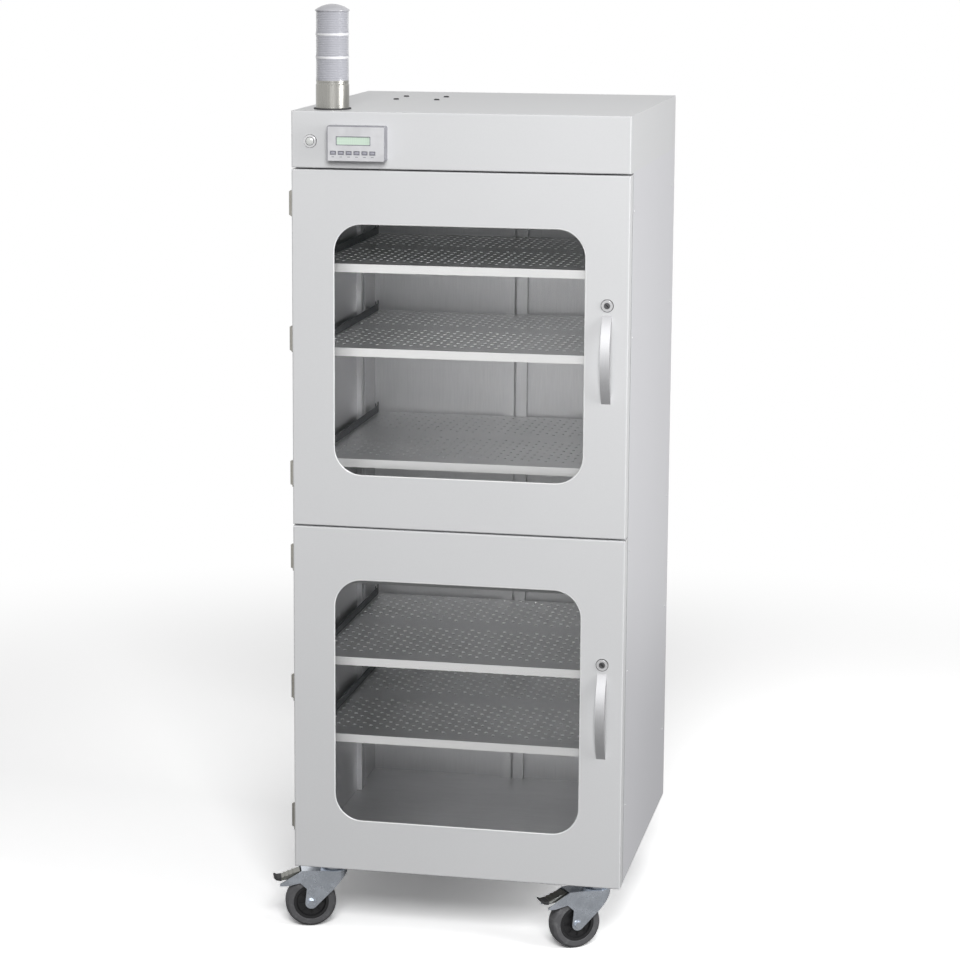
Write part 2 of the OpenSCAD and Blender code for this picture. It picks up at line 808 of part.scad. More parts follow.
// Grey tyre with a crowned tread
module tyre(p, turn) {
  half = wheel_w / 2;
  r = wheel_d / 2;
  color([0.4, 0.4, 0.42]) at_wheel(p, turn) rotate_extrude($fn = 96) polygon([
    [hub_r, -half + 1], [hub_r + 1, -half], [r - 6, -half], [r - 2, -half + 3], [r, -half + 9],
    [r, half - 9], [r - 2, half - 3], [r - 6, half], [hub_r + 1, half], [hub_r, half - 1]
  ]);
}

// Brake pedal: a ribbed lever on its pin between the cheeks of a front castor
module pedal(p, turn) {
  pivot = [72, 103];
  half = 14;
  pin = cheek_v - fork_t - 0.3;
  color(dark) at_castor(p, turn) {
    rotate([90, 0, 0]) translate([0, 0, -half]) linear_extrude(2 * half) {
      translate(pivot) circle(4);
      polygon([[70, 106.8], [66, 112], [67, 114], [72, 113], [104, 101], [112, 100], [117, 103],
               [118.5, 101], [114, 96.5], [106, 95], [75, 100]]);
    }
    for (u = [80, 88, 96])
      translate([u, -half, 109.2 - (u - 80) * 0.375]) rotate([0, 20.5, 0]) cube([2, 2 * half, 2]);
    translate([pivot.x, -pin, pivot.y]) rotate([-90, 0, 0]) cylinder(r = 2.5, h = 2 * pin);
  }
}

// ---------- nodes ----------

side_panel_left();
side_panel_right();
back_panel();
chamber_floor();
chamber_ceiling();
front_frame();
control_housing();
corner_uprights();
shelf_brackets();
back_channel();
shelves(lower_levels);  // lower_shelves
shelves(middle_levels);  // middle_shelves
shelves([top_level]);  // top_shelf
humidity_sensor();
drying_unit();
controller_case();
display();
key(0);  // key_1
key(1);  // key_2
key(2);  // key_3
key(3);  // key_4
key(4);  // key_5
key(5);  // key_6
power_button_bezel();
power_button();
tower_base();
tower_lenses();
tower_core();
tower_cap();
power_inlet();
frame_hinge_leaves();
castor_plates();
door_panel(upper_door_z);  // upper_door_panel
door_glass(upper_door_z);  // upper_door_glass
door_gasket(upper_door_z);  // upper_door_gasket
door_handle(upper_door_z);  // upper_door_handle
door_hinge_leaves(upper_door_z);  // upper_door_hinge_leaves
lock_barrel(upper_door_z);  // upper_lock_barrel
lock_plug(upper_door_z);  // upper_lock_plug
door_panel(0);  // lower_door_panel
door_glass(0);  // lower_door_glass
door_gasket(0);  // lower_door_gasket
door_handle(0);  // lower_door_handle
door_hinge_leaves(0);  // lower_door_hinge_leaves
lock_barrel(0);  // lower_lock_barrel
lock_plug(0);  // lower_lock_plug
fork(front_left, front_left_turn, true);  // front_left_fork
fork(front_right, front_right_turn, true);  // front_right_fork
fork(rear_left, rear_turn, false);  // rear_left_fork
fork(rear_right, rear_turn, false);  // rear_right_fork
hub(front_left, front_left_turn);  // front_left_hub
hub(front_right, front_right_turn);  // front_right_hub
hub(rear_left, rear_turn);  // rear_left_hub
hub(rear_right, rear_turn);  // rear_right_hub
tyre(front_left, front_left_turn);  // front_left_tyre
tyre(front_right, front_right_turn);  // front_right_tyre
tyre(rear_left, rear_turn);  // rear_left_tyre
tyre(rear_right, rear_turn);  // rear_right_tyre
pedal(front_left, front_left_turn);  // front_left_pedal
pedal(front_right, front_right_turn);  // front_right_pedal
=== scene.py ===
"""Looks of the desiccator cabinet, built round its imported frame.

Every sub-assembly is a class that builds its own small pieces and dresses its CAD nodes. The finishes
are small classes that turn measured looks into node materials. Lengths are in metres, in the row frame.
"""

import logging
import math
from dataclasses import dataclass, field
from enum import Enum

import bmesh
import bpy
from mathutils import Matrix, Vector


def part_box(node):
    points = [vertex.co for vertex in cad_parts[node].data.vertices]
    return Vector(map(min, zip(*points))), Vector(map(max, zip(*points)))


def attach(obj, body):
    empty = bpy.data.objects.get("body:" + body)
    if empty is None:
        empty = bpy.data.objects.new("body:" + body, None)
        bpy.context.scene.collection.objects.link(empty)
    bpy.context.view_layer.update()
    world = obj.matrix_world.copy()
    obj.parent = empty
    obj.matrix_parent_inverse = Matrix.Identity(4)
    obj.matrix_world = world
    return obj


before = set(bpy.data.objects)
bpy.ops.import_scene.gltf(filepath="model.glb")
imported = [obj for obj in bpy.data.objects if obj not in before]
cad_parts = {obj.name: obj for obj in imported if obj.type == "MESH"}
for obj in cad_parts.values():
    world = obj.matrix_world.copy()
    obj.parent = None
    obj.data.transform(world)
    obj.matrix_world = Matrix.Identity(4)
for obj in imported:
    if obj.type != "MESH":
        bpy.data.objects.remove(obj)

LOG = logging.getLogger("desiccator_cabinet")
MM = 0.001
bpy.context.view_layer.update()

# The cabinet's corner in the row frame: left side, doors' front, underside. ROOF is above the underside.
LEFT, FRONT, UNDERSIDE = -0.290, -0.306, 0.140
WIDTH, ROOF = 0.640, 1.470
DOOR_HEIGHT, DOOR_SEAM = 0.679, 0.003

Number = float | int
Colour = tuple[float, float, float]
Point = tuple[float, float, float]


def at(x: Number, y: Number, z: Number) -> Vector:
    """Turns millimetres from the cabinet's corner into a point of the row frame."""
    return Vector((LEFT + x * MM, FRONT + y * MM, UNDERSIDE + z * MM))


# ---------------------------------------------------------------- shader maths


class Signal:
    """One output of a node tree, on which Python's operators build Math nodes."""

    def __init__(self, recipe: "Recipe", socket: bpy.types.NodeSocket) -> None:
        """Wraps a socket.

        Args:
            recipe: the material's node tree that the socket belongs to.
            socket: the output socket.
        """
        self.recipe = recipe
        self.socket = socket

    def _math(self, operation: str, *values: "Signal | Number") -> "Signal":
        """Adds one Math node.

        Args:
            operation: the Math node's operation.
            values: its inputs, in order.

        Returns:
            The node's value.
        """
        return self.recipe.node("ShaderNodeMath", {"operation": operation}, dict(enumerate(values)))

    def __add__(self, other: "Signal | Number") -> "Signal":
        """Adds another value."""
        return self._math("ADD", self, other)

    def __radd__(self, other: Number) -> "Signal":
        """Adds this value to a number."""
        return self._math("ADD", other, self)

    def __sub__(self, other: "Signal | Number") -> "Signal":
        """Takes another value away."""
        return self._math("SUBTRACT", self, other)

    def __rsub__(self, other: Number) -> "Signal":
        """Takes this value away from a number."""
        return self._math("SUBTRACT", other, self)

    def __mul__(self, other: "Signal | Number") -> "Signal":
        """Multiplies by another value."""
        return self._math("MULTIPLY", self, other)

    def __rmul__(self, other: Number) -> "Signal":
        """Multiplies a number by this value."""
        return self._math("MULTIPLY", other, self)

    def size(self) -> "Signal":
        """Gives the value without its sign."""
        return self._math("ABSOLUTE", self)

    def larger(self, other: "Signal | Number") -> "Signal":
        """Gives the larger of this and another value."""
        return self._math("MAXIMUM", self, other)

    def repeat(self, period: Number) -> "Signal":
        """Gives the position within a repeating period, from 0 to the period."""
        return self._math("WRAP", self, period, 0.0)

    def step(self, low: Number, high: Number) -> "Signal":
        """Maps low..high to a smooth 0..1 and clamps it.

        Args:
            low: the value that becomes 0.
            high: the value that becomes 1.

        Returns:
            The mapped value.
        """
        settings = {"interpolation_type": "SMOOTHSTEP"}
        return self.recipe.node("ShaderNodeMapRange", settings, {"Value": self, "From Min": low, "From Max": high})


class Recipe:
    """The node tree of one material or of the world."""

    def __init__(self, owner: bpy.types.Material | bpy.types.World, end: str = "ShaderNodeOutputMaterial") -> None:
        """Starts an empty tree.

        Args:
            owner: the material or world that the tree belongs to.
            end: the type of its output node.
        """
        self.owner = owner
        owner.use_nodes = True
        self.tree = owner.node_tree
        self.tree.nodes.clear()
        self.output = self.tree.nodes.new(end)

    def node(self, kind: str, settings: dict | None = None, inputs: dict | None = None,
             result: int | str = 0) -> Signal:
        """Adds any node.

        Args:
            kind: the node's type.
            settings: properties, which are set first.
            inputs: socket names or numbers, with values or signals.
            result: name or number of the output that is used.

        Returns:
            That output.
        """
        made = self.tree.nodes.new(kind)
        for key, value in (settings or {}).items():
            setattr(made, key, value)
        for key, value in (inputs or {}).items():
            if isinstance(value, Signal):
                self.tree.links.new(value.socket, made.inputs[key])
            else:
                made.inputs[key].default_value = value
        return Signal(self, made.outputs[result])

    def show(self, shader: Signal) -> None:
        """Ends the tree in a shader."""
        self.tree.links.new(shader.socket, self.output.inputs["Surface"])

    def ray(self, kind: str) -> Signal:
        """Tells whether a ray is of one kind, such as Camera."""
        return self.node("ShaderNodeLightPath", result=f"Is {kind} Ray")

    def place(self, scale: Point = (1, 1, 1)) -> Signal:
        """Gives the point on the object, in metres, stretched by scale."""
        spot = self.node("ShaderNodeTexCoord", result="Object")
        return self.node("ShaderNodeMapping", {}, {"Vector": spot, "Scale": scale})

    def axis(self, letter: str) -> Signal:
        """Gives one coordinate of the point on the object, in metres."""
        spot = self.node("ShaderNodeTexCoord", result="Object")
        return self.node("ShaderNodeSeparateXYZ", {}, {"Vector": spot}, result=letter)

    def noise(self, scale: Number, detail: Number = 2, stretch: Point = (1, 1, 1), rough: Number = 0.5) -> Signal:
        """Adds a noise texture.

        Args:
            scale: features per metre.
            detail: number of octaves.
            stretch: factors on the three axes.
            rough: how strong the fine octaves are.

        Returns:
            Its grey value.
        """
        values = {"Vector": self.place(stretch), "Scale": scale, "Detail": detail, "Roughness": rough}
        return self.node("ShaderNodeTexNoise", {}, values, result=0)

    def blend(self, mask: Signal | Number, first: Colour | Signal, second: Colour | Signal) -> Signal:
        """Mixes two colours.

        Args:
            mask: 0 gives the first, 1 the second.
            first: the first colour.
            second: the second colour.

        Returns:
            The mixed colour.
        """
        pair = [c if isinstance(c, Signal) else (*c, 1) for c in (first, second)]
        settings = {"data_type": "RGBA", "blend_type": "MIX"}
        return self.node("ShaderNodeMix", settings, {0: mask, 6: pair[0], 7: pair[1]}, result=2)

    def bump(self, height: Signal, strength: Number, depth: Number) -> Signal:
        """Turns a height into a normal.

        Args:
            height: the height, 0 to 1.
            strength: how much of it shows.
            depth: its size in metres.

        Returns:
            The bent normal.
        """
        values = {"Strength": strength, "Distance": depth, "Height": height}
        return self.node("ShaderNodeBump", {}, values, result="Normal")

    def surface(self, **sockets: object) -> bpy.types.Material:
        """Ends the tree in one principled surface.

        Args:
            sockets: socket names with underscores for spaces, with values or signals.

        Returns:
            The finished material.
        """
        values = {key.replace("_", " "): value for key, value in sockets.items()}
        for key in ("Base Color", "Emission Color"):
            if key in values and not isinstance(values[key], Signal):
                values[key] = (*values[key], 1)
        self.show(self.node("ShaderNodeBsdfPrincipled", {}, values))
        return self.owner


# ---------------------------------------------------------------- finishes


def scaled(colour: Colour, factor: Number) -> Colour:
    """Makes a colour lighter or darker by a factor."""
    return tuple(channel * factor for channel in colour)


def tinted(recipe: Recipe, tone: Signal, colour: Colour, dark: Number, light: Number) -> Signal:
    """Spreads one colour between a darker and a lighter shade of itself.

    Args:
        recipe: the tree.
        tone: 0 gives the darker shade, 1 the lighter.
        colour: the colour.
        dark: factor of the darker shade.
        light: factor of the lighter shade.

    Returns:
        The varied colour.
    """
    return recipe.blend(tone, scaled(colour, dark), scaled(colour, light))


def paint(recipe: Recipe, colour: Colour, cloud: Signal) -> Signal:
    """Gives satin paint its cloudy, finely flecked tone."""
    fleck = recipe.noise(420, 2)
    return tinted(recipe, (cloud * 0.7 + fleck * 0.3).step(0.25, 0.75), colour, 0.975, 1.02)


class Finish:
    """A finish that builds its material once and then hands out the same one."""

    _made: dict[str, bpy.types.Material] = {}

    def material(self, name: str) -> bpy.types.Material:
        """Gives the finish as a material.

        Args:
            name: the material's name.

        Returns:
            The material of that name, built on first use.
        """
        if name not in Finish._made:
            Finish._made[name] = self.build(Recipe(bpy.data.materials.new(name)))
        return Finish._made[name]

    def build(self, recipe: Recipe) -> bpy.types.Material:
        """Builds the node tree. Each finish has its own."""
        raise NotImplementedError


@dataclass(frozen=True)
class PowderCoat(Finish):
    """Satin powder coat: a fine orange peel, faint cloudy tone and slightly uneven sheen."""

    colour: Colour = (0.70, 0.705, 0.715)
    roughness: float = 0.42
    peel: float = 0.06

    def build(self, recipe: Recipe) -> bpy.types.Material:
        """Builds the coat from a cloud for its tone and a fine cell pattern for its skin."""
        cloud = recipe.noise(2.2, 3)
        colour = paint(recipe, self.colour, cloud)
        sheen = self.roughness + (cloud - 0.5) * 0.10
        skin = recipe.bump(recipe.noise(650, 2), self.peel, 0.0004)
        return recipe.surface(Base_Color=colour, Roughness=sheen, Normal=skin)


@dataclass(frozen=True)
class LinedWall(Finish):
    """A double-skinned wall: satin powder coat outside, ground stainless sheet towards the chamber."""

    colour: Colour = (0.70, 0.705, 0.715)
    lining: Colour = (0.80, 0.80, 0.81)
    metal: float = 0.75
    satin: float = 0.42
    gloss: float = 0.36
    peel: float = 0.06
    side_skin: float = 0.311
    rear_skin: float = 0.321

    def build(self, recipe: Recipe) -> bpy.types.Material:
        """Builds both skins and parts them at the middle of the wall."""
        aside = (recipe.axis("X") - (LEFT + WIDTH / 2)).size()
        inner = (1 - aside.step(self.side_skin, self.side_skin + MM)) \
            * (1 - recipe.axis("Y").step(self.rear_skin, self.rear_skin + MM))
        lines = recipe.noise(20, 4, (34, 34, 1), 0.65)
        cloud = recipe.noise(2.2, 3)
        ground = tinted(recipe, (lines * 0.6 + cloud * 0.4).step(0.3, 0.7), self.lining, 0.92, 1.06)
        outside = paint(recipe, self.colour, cloud)
        skin = recipe.bump(recipe.noise(650, 2), self.peel, 0.0004)
        sheen = self.satin - inner * (self.satin - self.gloss) + (cloud - 0.5) * 0.10
        return recipe.surface(Base_Color=recipe.blend(inner, outside, ground), Metallic=inner * self.metal,
                              Roughness=sheen, Normal=skin)


@dataclass(frozen=True)
class BrushedSheet(Finish):
    """Ground stainless sheet, with fine lines along one axis."""

    colour: Colour = (0.50, 0.50, 0.52)
    roughness: float = 0.38
    metal: float = 0.85
    stretch: Point = (1, 40, 40)

    def build(self, recipe: Recipe) -> bpy.types.Material:
        """Builds the ground lines from one stretched noise."""
        lines = recipe.noise(22, 4, self.stretch, 0.65)
        cloud = recipe.noise(3, 2)
        colour = tinted(recipe, (lines * 0.6 + cloud * 0.4).step(0.3, 0.7), self.colour, 0.88, 1.08)
        sheen = self.roughness + (lines - 0.5) * 0.22
        grain = recipe.bump(lines, 0.12, 0.0004)
        return recipe.surface(Base_Color=colour, Metallic=self.metal, Roughness=sheen, Normal=grain)


@dataclass(frozen=True)
class ShelfSheet(Finish):
    """Ground stainless shelf, whose front lip is a lighter, less metallic copy of the sheet: painted light on the
    lip's lit front.
    """

    colour: Colour = (0.90, 0.90, 0.905)
    lip: Colour = (0.92, 0.92, 0.915)
    front: float = FRONT + 64 * MM

    def build(self, recipe: Recipe) -> bpy.types.Material:
        """Builds the grinding lines along the shelf's width and lifts the lip's tone as painted light."""
        lines = recipe.noise(22, 4, (1, 36, 60), 0.65)
        cloud = recipe.noise(3, 2)
        grain = (lines * 0.6 + cloud * 0.4).step(0.3, 0.7)
        edge = 1 - recipe.axis("Y").step(self.front - MM, self.front)
        sheet = tinted(recipe, grain, self.colour, 0.9, 1.08)
        # The lip gets a lighter tone and half the metal: painted light where the front lamp falls on it.
        front = tinted(recipe, grain, self.lip, 0.94, 1.04)
        return recipe.surface(Base_Color=recipe.blend(edge, sheet, front), Metallic=1.0 - edge * 0.5,
                              Roughness=0.36 + (lines - 0.5) * 0.14, Normal=recipe.bump(lines, 0.12, 0.0004))


@dataclass(frozen=True)
class PlatedSteel(Finish):
    """Zinc or nickel plate over pressed or turned steel, with a cloudy crystalline tone."""

    colour: Colour = (0.66, 0.68, 0.70)
    roughness: float = 0.33
    metal: float = 1.0
    cloud_scale: float = 28

    def build(self, recipe: Recipe) -> bpy.types.Material:
        """Builds the plate from two cloud sizes and faint drawing lines."""
        cloud = recipe.noise(self.cloud_scale, 4, rough=0.6)
        fine = recipe.noise(260, 3)
        colour = tinted(recipe, (cloud * 0.65 + fine * 0.35).step(0.3, 0.7), self.colour, 0.84, 1.1)
        sheen = self.roughness + (cloud - 0.5) * 0.25
        skin = recipe.bump(fine, 0.08, 0.0003)
        return recipe.surface(Base_Color=colour, Metallic=self.metal, Roughness=sheen, Normal=skin)


@dataclass(frozen=True)
class MouldedPlastic(Finish):
    """Moulded plastic with a fine spark-eroded texture."""

    colour: Colour
    roughness: float = 0.45
    grain: float = 0.10
    coat: float = 0.0
    alpha: float = 1.0

    def build(self, recipe: Recipe) -> bpy.types.Material:
        """Builds the texture from one fine noise and a faint tone."""
        fine = recipe.noise(900, 2)
        cloud = recipe.noise(35, 3)
        colour = tinted(recipe, cloud.step(0.3, 0.7), self.colour, 0.93, 1.06)
        sheen = self.roughness + (fine - 0.5) * 0.12
        skin = recipe.bump(fine, self.grain, 0.0003)
        return recipe.surface(Base_Color=colour, Roughness=sheen, Normal=skin, Coat_Weight=self.coat,
                              Alpha=self.alpha)


@dataclass(frozen=True)
class TreadRubber(Finish):
    """Grey castor tread with dusty scuffs."""

    colour: Colour = (0.10, 0.10, 0.105)
    dust: Colour = (0.19, 0.19, 0.195)

    def build(self, recipe: Recipe) -> bpy.types.Material:
        """Builds dull rubber with lighter scuffs."""
        scuff = recipe.noise(60, 5, rough=0.7)
        fine = recipe.noise(1200, 2)
        colour = recipe.blend(scuff.step(0.48, 0.75), self.colour, self.dust)
        return recipe.surface(Base_Color=colour, Roughness=0.62 + (scuff - 0.5) * 0.2,
                              Normal=recipe.bump(fine, 0.2, 0.0004))


@dataclass(frozen=True)
class WindowGlass(Finish):
    """Clear float glass, which shows what lies behind it under a faint grey veil."""

    colour: Colour = (0.10, 0.12, 0.12)
    alpha: float = 0.04

    def build(self, recipe: Recipe) -> bpy.types.Material:
        """Builds a nearly clear sheet with faint wiped streaks in its gloss."""
        wipe = recipe.noise(5, 3, (1, 1, 0.3))
        return recipe.surface(Base_Color=self.colour, Roughness=0.03 + wipe * 0.05, Alpha=self.alpha)


@dataclass(frozen=True)
class ClearLens(Finish):
    """Clear moulded lens of the signal tower; the bright rims at its ring edges are separate pieces."""

    colour: Colour = (0.62, 0.625, 0.68)
    alpha: float = 0.64

    def build(self, recipe: Recipe) -> bpy.types.Material:
        """Builds the clear plastic with a faint vertical flow mark."""
        flow = recipe.noise(30, 2, (1, 1, 0.2))
        colour = tinted(recipe, flow, self.colour, 0.94, 1.04)
        return recipe.surface(Base_Color=colour, Roughness=0.16, Coat_Weight=0.4, Alpha=self.alpha)


@dataclass(frozen=True)
class LiquidCrystal(Finish):
    """Pale green display with the faint grid of two rows of character cells."""

    colour: Colour = (0.62, 0.76, 0.64)
    left: float = LEFT + 93 * MM
    low: float = UNDERSIDE + 1410 * MM
    cell: float = 3.55 * MM
    row: float = 5.9 * MM

    def build(self, recipe: Recipe) -> bpy.types.Material:
        """Builds the cells from the distances to their gaps and gives the display a faint painted glow."""
        across = (recipe.axis("X") - (self.left + 3.6 * MM)).repeat(self.cell)
        up = (recipe.axis("Z") - (self.low + 1.6 * MM)).repeat(self.row)
        column_gap = 1 - across.step(0.25 * MM, 0.6 * MM)
        row_gap = 1 - up.step(0.3 * MM, 0.8 * MM)
        gap = column_gap.larger(row_gap)
        colour = recipe.blend(gap, scaled(self.colour, 0.93), self.colour)
        # The faint emission is a painted glow that lifts the display's tone.
        return recipe.surface(Base_Color=colour, Roughness=0.18 + gap * 0.1, Coat_Weight=0.5,
                              Emission_Color=colour, Emission_Strength=0.12)


class Coat(Enum):
    """The finishes of the cabinet, by the part of it that wears them."""

    HOUSING = PowderCoat()
    # Side walls: their lining is a darker copy of the rear wall's ground stainless, as painted shade on the
    # chamber's sides, and the rear wall keeps the lighter copy. Their outer paint is bluer than the housing's, as
    # painted light from the right.
    WALL = LinedWall(colour=(0.70, 0.70, 0.73), lining=(0.52, 0.52, 0.53), metal=0.85)
    REAR_WALL = LinedWall(lining=(0.90, 0.90, 0.91), metal=0.65, gloss=0.5)
    DOOR = PowderCoat(colour=(0.715, 0.72, 0.73))
    # The window lip's paint is lighter than the door's, as a painted highlight along the window's rounded edge.
    WINDOW_LIP = PowderCoat(colour=(0.88, 0.885, 0.89), roughness=0.25)
    FRAME = PowderCoat(colour=(0.62, 0.62, 0.63), roughness=0.5)
    CHAMBER = BrushedSheet(colour=(0.70, 0.70, 0.71), metal=0.3, stretch=(1, 30, 30))
    CHAMBER_FLOOR = BrushedSheet(colour=(0.93, 0.93, 0.935), roughness=0.4, metal=1.0, stretch=(1, 30, 30))
    CHAMBER_UPRIGHT = BrushedSheet(colour=(0.62, 0.62, 0.63), metal=0.7, stretch=(40, 40, 1))
    SHELF = ShelfSheet()
    BRACKET = MouldedPlastic((0.055, 0.055, 0.06), roughness=0.5)
    SENSOR = MouldedPlastic((0.80, 0.80, 0.79), roughness=0.5)
    DRYER = PowderCoat(colour=(0.55, 0.56, 0.57), roughness=0.5)
    PANEL_FILM = MouldedPlastic((0.68, 0.68, 0.70), roughness=0.34, grain=0.05)
    CASE = MouldedPlastic((0.30, 0.30, 0.33), roughness=0.4, grain=0.05)
    LOCK_RING = PlatedSteel(colour=(0.64, 0.64, 0.65), roughness=0.18)
    LOCK_PLUG = PlatedSteel(colour=(0.13, 0.13, 0.135), roughness=0.3)
    LCD = LiquidCrystal()
    KEY = MouldedPlastic((0.22, 0.22, 0.26), roughness=0.4)
    KEY_TOP = MouldedPlastic((0.36, 0.36, 0.41), roughness=0.4)
    BUTTON_RING = PlatedSteel(colour=(0.66, 0.66, 0.67), roughness=0.28)
    BUTTON_CAP = MouldedPlastic((0.80, 0.82, 0.80), roughness=0.25, coat=0.5)
    TOWER_METAL = BrushedSheet(colour=(0.34, 0.335, 0.315), roughness=0.28, metal=1.0, stretch=(40, 40, 1))
    TOWER_LENS = ClearLens()
    TOWER_CORE = MouldedPlastic((0.82, 0.82, 0.84), roughness=0.4)
    TOWER_RING = MouldedPlastic((0.88, 0.88, 0.90), roughness=0.3)
    TOWER_CAP = MouldedPlastic((0.46, 0.46, 0.49), roughness=0.3, coat=0.3)
    BLACK_PLASTIC = MouldedPlastic((0.018, 0.018, 0.02), roughness=0.32, coat=0.2)
    RUBBER = MouldedPlastic((0.03, 0.03, 0.032), roughness=0.7, grain=0.2)
    HINGE = PlatedSteel(colour=(0.36, 0.35, 0.32), roughness=0.4)
    ZINC = PlatedSteel(colour=(0.60, 0.64, 0.70), roughness=0.27)
    BOLT = PlatedSteel(colour=(0.55, 0.55, 0.56), roughness=0.3)
    GLASS = WindowGlass()
    HANDLE = BrushedSheet(colour=(0.46, 0.46, 0.47), roughness=0.58, metal=1.0, stretch=(40, 40, 1))
    HUB = MouldedPlastic((0.008, 0.008, 0.009), roughness=0.5)
    TREAD = TreadRubber()
    PEDAL = PlatedSteel(colour=(0.22, 0.22, 0.20), roughness=0.36)

    def material(self) -> bpy.types.Material:
        """Gives this finish's material, named after it."""
        return self.value.material(self.name.lower())


def dress(coat: Coat, *nodes: str) -> None:
    """Gives CAD nodes a finish.

    Args:
        coat: the finish.
        nodes: names of the nodes.
    """
    for name in nodes:
        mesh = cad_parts[name].data
        mesh.materials.clear()
        mesh.materials.append(coat.material())
        LOG.info("dressed %s in %s", name, coat.name.lower())


# ---------------------------------------------------------------- small pieces


@dataclass
class Piece:
    """A small piece of the looks, gathered in one mesh before it is placed."""

    name: str
    coat: Coat
    body: str
    slot: str
    mesh: bmesh.types.BMesh = field(default_factory=bmesh.new)

    def ring_stack(self, profile: list[tuple[float, float]], where: Matrix, sides: int = 32,
                   closed: bool = False) -> None:
        """Adds a turned shape.

        Args:
            profile: radius and height pairs, from one end to the other.
            where: place of the axis, which runs along local Z.
            sides: number of segments round the axis.
            closed: whether the last pair joins the first, as on a ring.
        """
        rings = []
        for radius, height in profile:
            if radius < 1e-7:
                rings.append([self.mesh.verts.new(where @ Vector((0, 0, height)))])
                continue
            ring = []
            for i in range(sides):
                angle = 2 * math.pi * i / sides
                ring.append(self.mesh.verts.new(
                    where @ Vector((radius * math.cos(angle), radius * math.sin(angle), height))))
            rings.append(ring)
        pairs = list(zip(rings, rings[1:])) + ([(rings[-1], rings[0])] if closed else [])
        for low, high in pairs:
            for i in range(sides):
                j = (i + 1) % sides
                corners = [low[i % len(low)], low[j % len(low)], high[j % len(high)], high[i % len(high)]]
                unique = list(dict.fromkeys(corners))
                if len(unique) > 2:
                    self.mesh.faces.new(unique)

    def loop_stack(self, loops: list[list[Vector]], closed: bool = False, capped: bool = True) -> None:
        """Joins outlines of equal length into a skin.

        Args:
            loops: the outlines, in order.
            closed: whether the last outline joins the first.
            capped: whether the first and last outlines are filled.
        """
        rows = [[self.mesh.verts.new(p) for p in loop] for loop in loops]
        pairs = list(zip(rows, rows[1:])) + ([(rows[-1], rows[0])] if closed else [])
        for low, high in pairs:
            for i in range(len(low)):
                j = (i + 1) % len(low)
                self.mesh.faces.new((low[i], low[j], high[j], high[i]))
        if capped and not closed:
            self.mesh.faces.new(list(reversed(rows[0])))
            self.mesh.faces.new(rows[-1])

    def settle(self) -> None:
        """Puts corners and faces in a fixed order, which dissolving and extruding leave open."""
        bmesh.ops.recalc_face_normals(self.mesh, faces=self.mesh.faces)
        outlines = []
        for face in self.mesh.faces:
            loop = [tuple(corner.co) for corner in face.verts]
            first = loop.index(min(loop))
            outlines.append(loop[first:] + loop[:first])
        self.mesh.clear()
        spots = sorted({spot for loop in outlines for spot in loop})
        corners = {spot: self.mesh.verts.new(spot) for spot in spots}
        for loop in sorted(outlines):
            self.mesh.faces.new([corners[spot] for spot in loop])

    def finish(self, bevel: float = 0.0, smooth: bool = True) -> bpy.types.Object:
        """Makes the object and lets it ride.

        Args:
            bevel: width of rounded edges, or 0.
            smooth: whether its faces are shaded smooth between sharp edges.

        Returns:
            The object.
        """
        bmesh.ops.recalc_face_normals(self.mesh, faces=self.mesh.faces)
        data = bpy.data.meshes.new(self.name)
        self.mesh.to_mesh(data)
        self.mesh.free()
        thing = bpy.data.objects.new(self.name, data)
        bpy.context.scene.collection.objects.link(thing)
        data.materials.append(self.coat.material())
        if bevel:
            edge = thing.modifiers.new("edge", "BEVEL")
            edge.width, edge.segments, edge.limit_method = bevel, 2, "ANGLE"
        if smooth:
            data.shade_smooth()
            data.set_sharp_from_angle(angle=math.radians(35))
        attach(thing, self.body)
        LOG.info("made %s on %s", self.name, self.body)
        return thing


def facing(direction: Point, where: Vector) -> Matrix:
    """Gives a placement whose local Z points along a direction.

    Args:
        direction: the direction.
        where: the origin.

    Returns:
        The placement matrix.
    """
    return Matrix.Translation(where) @ Vector(direction).to_track_quat("Z", "Y").to_matrix().to_4x4()


def middle_of(node: str) -> Vector:
    """Gives the middle of a CAD node as seen from the front, in the plane of the doors' front."""
    low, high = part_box(node)
    return Vector(((low[0] + high[0]) / 2, FRONT, (low[2] + high[2]) / 2))


DOME_SCREW = [(0.0, 0.0016), (0.0008, 0.0016), (0.0009, 0.0009), (0.0016, 0.0012), (0.0024, 0.0007),
              (0.0027, 0.0001), (0.0027, -0.0005), (0.0, -0.0005)]
FLAT_SCREW = [(0.0, -0.0004), (0.0010, -0.0004), (0.0012, 0.0003), (0.0030, 0.0004), (0.0032, 0.0002),
              (0.0032, -0.0004), (0.0, -0.0004)]

GROMMET = [(0.0035, -0.0030), (0.0035, 0.0016), (0.0041, 0.0023), (0.0050, 0.0021), (0.0056, 0.0006),
           (0.0056, 0.0)]
# A thin black ring at the lock's collar, as painted shade at its edge.
LOCK_SHADE_RING = [(0.0106, 0.0), (0.0121, 0.0), (0.0121, 0.0005), (0.0106, 0.0005)]
HEXAGON_HEAD = [(0.0, -0.0098), (0.0052, -0.0098), (0.0064, -0.0092), (0.0064, -0.0048), (0.0, -0.0048)]
PLATE_WASHER = [(0.0, -0.0048), (0.0084, -0.0048), (0.0084, -0.0034), (0.0, -0.0034)]
FOOT_DISC = [(0.0318, 0.0), (0.0352, 0.0), (0.0356, 0.0008), (0.0352, 0.0026), (0.0318, 0.0028)]


